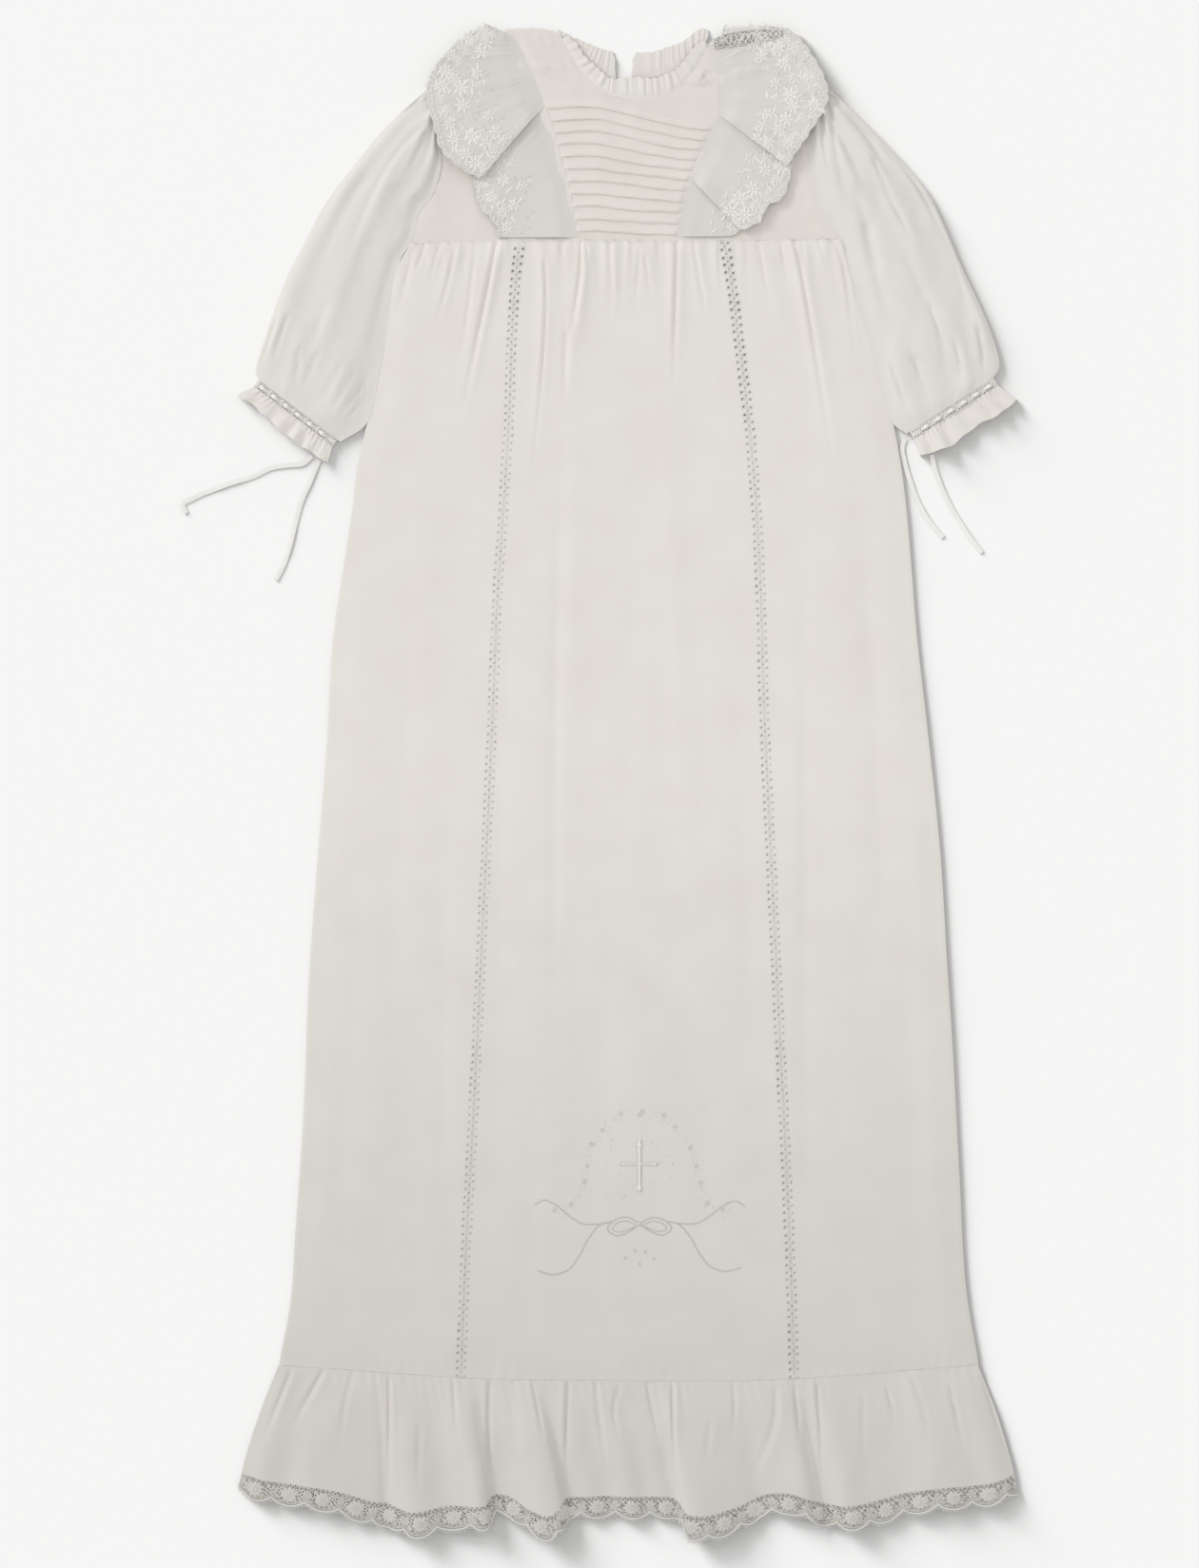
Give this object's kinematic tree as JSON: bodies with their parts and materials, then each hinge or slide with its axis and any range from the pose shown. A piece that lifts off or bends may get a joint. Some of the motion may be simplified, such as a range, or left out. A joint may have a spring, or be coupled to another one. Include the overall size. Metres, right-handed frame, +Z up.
{
  "type": "christening gown",
  "caption": "Long christening gown laid flat: tucked yoke with flounces, full sleeves with beading and ribbon ties, panelled skirt with insertion lace and a ruffled lace hem.",
  "frame": {"origin": "centre of the gown's bounding box without the ribbon ties, on the surface that it lies on", "axes": "+Y towards the neck, +X towards the wearer's left, +Z up from the surface, front of the gown up"},
  "size_m": [0.5273, 0.9531, 0.0099],
  "materials": {
    "cotton_batiste": "fine plain weave, matte off-white",
    "cotton_lace": "cotton net lace, matte off-white",
    "satin_ribbon": "satin, soft sheen"
  },
  "bodies": {
    "root": {"cuff_band_left": "cotton_lace", "cuff_band_right": "cotton_lace", "cuff_frill_left": "cotton_batiste", "cuff_frill_right": "cotton_batiste", "flounce_left": "cotton_batiste", "flounce_right": "cotton_batiste", "hem_lace_back": "cotton_lace", "hem_lace_front": "cotton_lace", "hem_ruffle_back": "cotton_batiste", "hem_ruffle_front": "cotton_batiste", "insertion_left": "cotton_lace", "insertion_right": "cotton_lace", "neck_frill_back_left": "cotton_batiste", "neck_frill_back_right": "cotton_batiste", "neck_frill_front": "cotton_batiste", "ribbon_tie_1": "satin_ribbon", "ribbon_tie_2": "satin_ribbon", "ribbon_tie_3": "satin_ribbon", "ribbon_tie_4": "satin_ribbon", "skirt_back": "cotton_batiste", "skirt_centre": "cotton_batiste", "skirt_side_left": "cotton_batiste", "skirt_side_right": "cotton_batiste", "sleeve_left": "cotton_batiste", "sleeve_right": "cotton_batiste", "yoke_back_left": "cotton_batiste", "yoke_back_right": "cotton_batiste", "yoke_centre": "cotton_batiste", "yoke_side_left": "cotton_batiste", "yoke_side_right": "cotton_batiste"}
  },
  "joints": []
}
